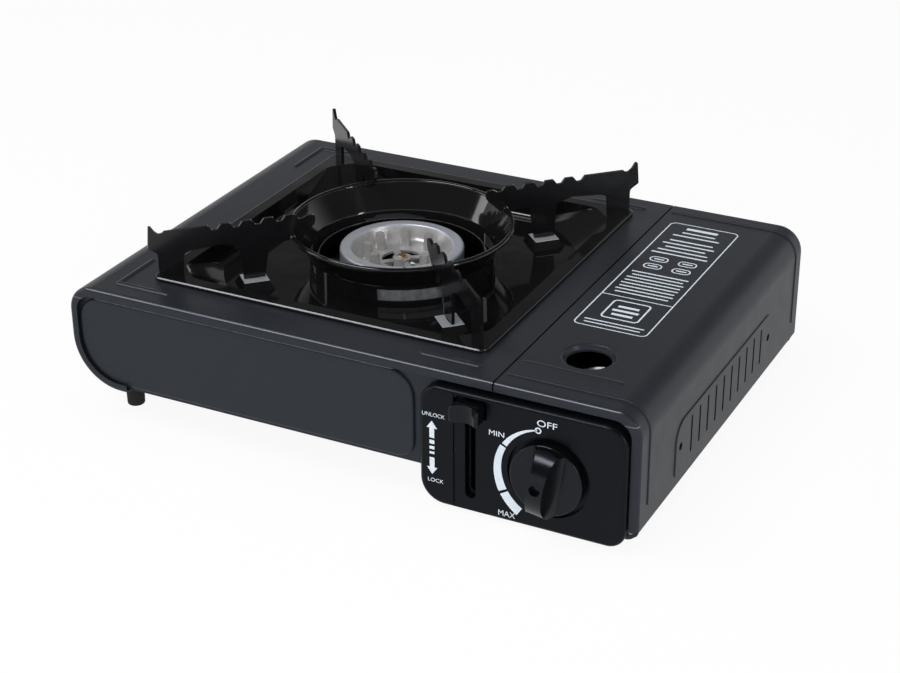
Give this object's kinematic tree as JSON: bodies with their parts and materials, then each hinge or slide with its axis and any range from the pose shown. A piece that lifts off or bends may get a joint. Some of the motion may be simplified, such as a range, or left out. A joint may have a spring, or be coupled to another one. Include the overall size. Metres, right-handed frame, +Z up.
{
  "type": "butane cassette stove",
  "caption": "Portable tabletop gas stove with a lidded cartridge bay, round burner, drip tray and scalloped pan support.",
  "frame": {"origin": "middle of the whole object's footprint, on the surface that it stands on", "axes": "+X along the case towards the cartridge bay, -Y towards the user, +Z up"},
  "size_m": [0.342, 0.274, 0.1112],
  "materials": {
    "black_enamel": "satin black coating",
    "glossy_enamel": "glossy black enamel",
    "arm_enamel": "glossy black enamel",
    "black_moulding": "fine grained black moulding",
    "black_knob": "smooth black moulding",
    "white_moulding": "moulded",
    "zinc_steel": "zinc plated sheet",
    "aluminium": "rolled sheet",
    "cast_aluminium": "die cast",
    "brass": "machined",
    "rubber": "moulded",
    "insulator_ceramic": "fired",
    "wire_jacket": "extruded"
  },
  "bodies": {
    "root": {"top_cover": "black_enamel", "base_case": "black_enamel", "partition_plate": "zinc_steel", "heat_plate": "aluminium", "control_panel": "black_moulding", "panel_screws": "zinc_steel", "case_screws": "zinc_steel", "hinge_pins": "zinc_steel", "piezo_igniter": "white_moulding", "electrode": "zinc_steel", "electrode_insulator": "insulator_ceramic", "ignition_wire": "wire_jacket", "slide_guides": "zinc_steel", "regulator_body": "cast_aluminium", "regulator_cap": "zinc_steel", "gas_nozzle": "brass", "cartridge_collar": "zinc_steel", "socket_seal": "rubber", "regulator_bracket": "zinc_steel", "regulator_screws": "zinc_steel", "mixing_tube": "zinc_steel", "burner_base": "zinc_steel", "burner_head": "cast_aluminium", "burner_screw": "brass", "burner_bracket": "zinc_steel", "foot_front_left": "rubber", "foot_front_right": "rubber", "foot_rear_left": "rubber", "foot_rear_right": "rubber"},
    "lid": {"cartridge_lid": "black_enamel"},
    "knob": {"knob": "black_knob", "knob_spindle": "zinc_steel", "ignition_cam": "white_moulding"},
    "lever": {"lock_lever_cap": "black_knob", "lock_lever_carrier": "zinc_steel"},
    "slide": {"cartridge_slide": "zinc_steel"},
    "plunger": {"igniter_plunger": "white_moulding"},
    "pan_support": {"drip_tray": "glossy_enamel", "wind_ring": "glossy_enamel", "pan_arm_front_left": "arm_enamel", "pan_arm_front_right": "arm_enamel", "pan_arm_rear_left": "arm_enamel", "pan_arm_rear_right": "arm_enamel"}
  },
  "joints": [
    {"name": "lid_hinge", "type": "hinge", "parent": "root", "child": "lid", "pos_m": [0.165, 0.011, 0.01], "axis": [0, 1, 0], "range_deg": [0, 90]},
    {"name": "knob_turn", "type": "hinge", "parent": "root", "child": "knob", "pos_m": [0.1231, -0.12, 0.0346], "axis": [0, -1, 0], "range_deg": [0, 120]},
    {"name": "plunger_slide", "type": "slide", "parent": "root", "child": "plunger", "axis": [1, 0, 0], "range_m": [0, 0.00501]},
    {"name": "lever_slide", "type": "slide", "parent": "root", "child": "lever", "axis": [0, 0, -1], "range_m": [0, 0.04]},
    {"name": "cartridge_push", "type": "slide", "parent": "root", "child": "slide", "axis": [0, -1, 0], "range_m": [0, 0.00801]},
    {"name": "support_lift", "type": "slide", "parent": "root", "child": "pan_support", "axis": [0, 0, 1], "range_m": [0, 0.06]}
  ],
  "couplings": [
    {"joint": "plunger_slide", "follows": "knob_turn", "m_per_rad": 0.0023873},
    {"joint": "cartridge_push", "follows": "lever_slide", "ratio": 0.2}
  ]
}
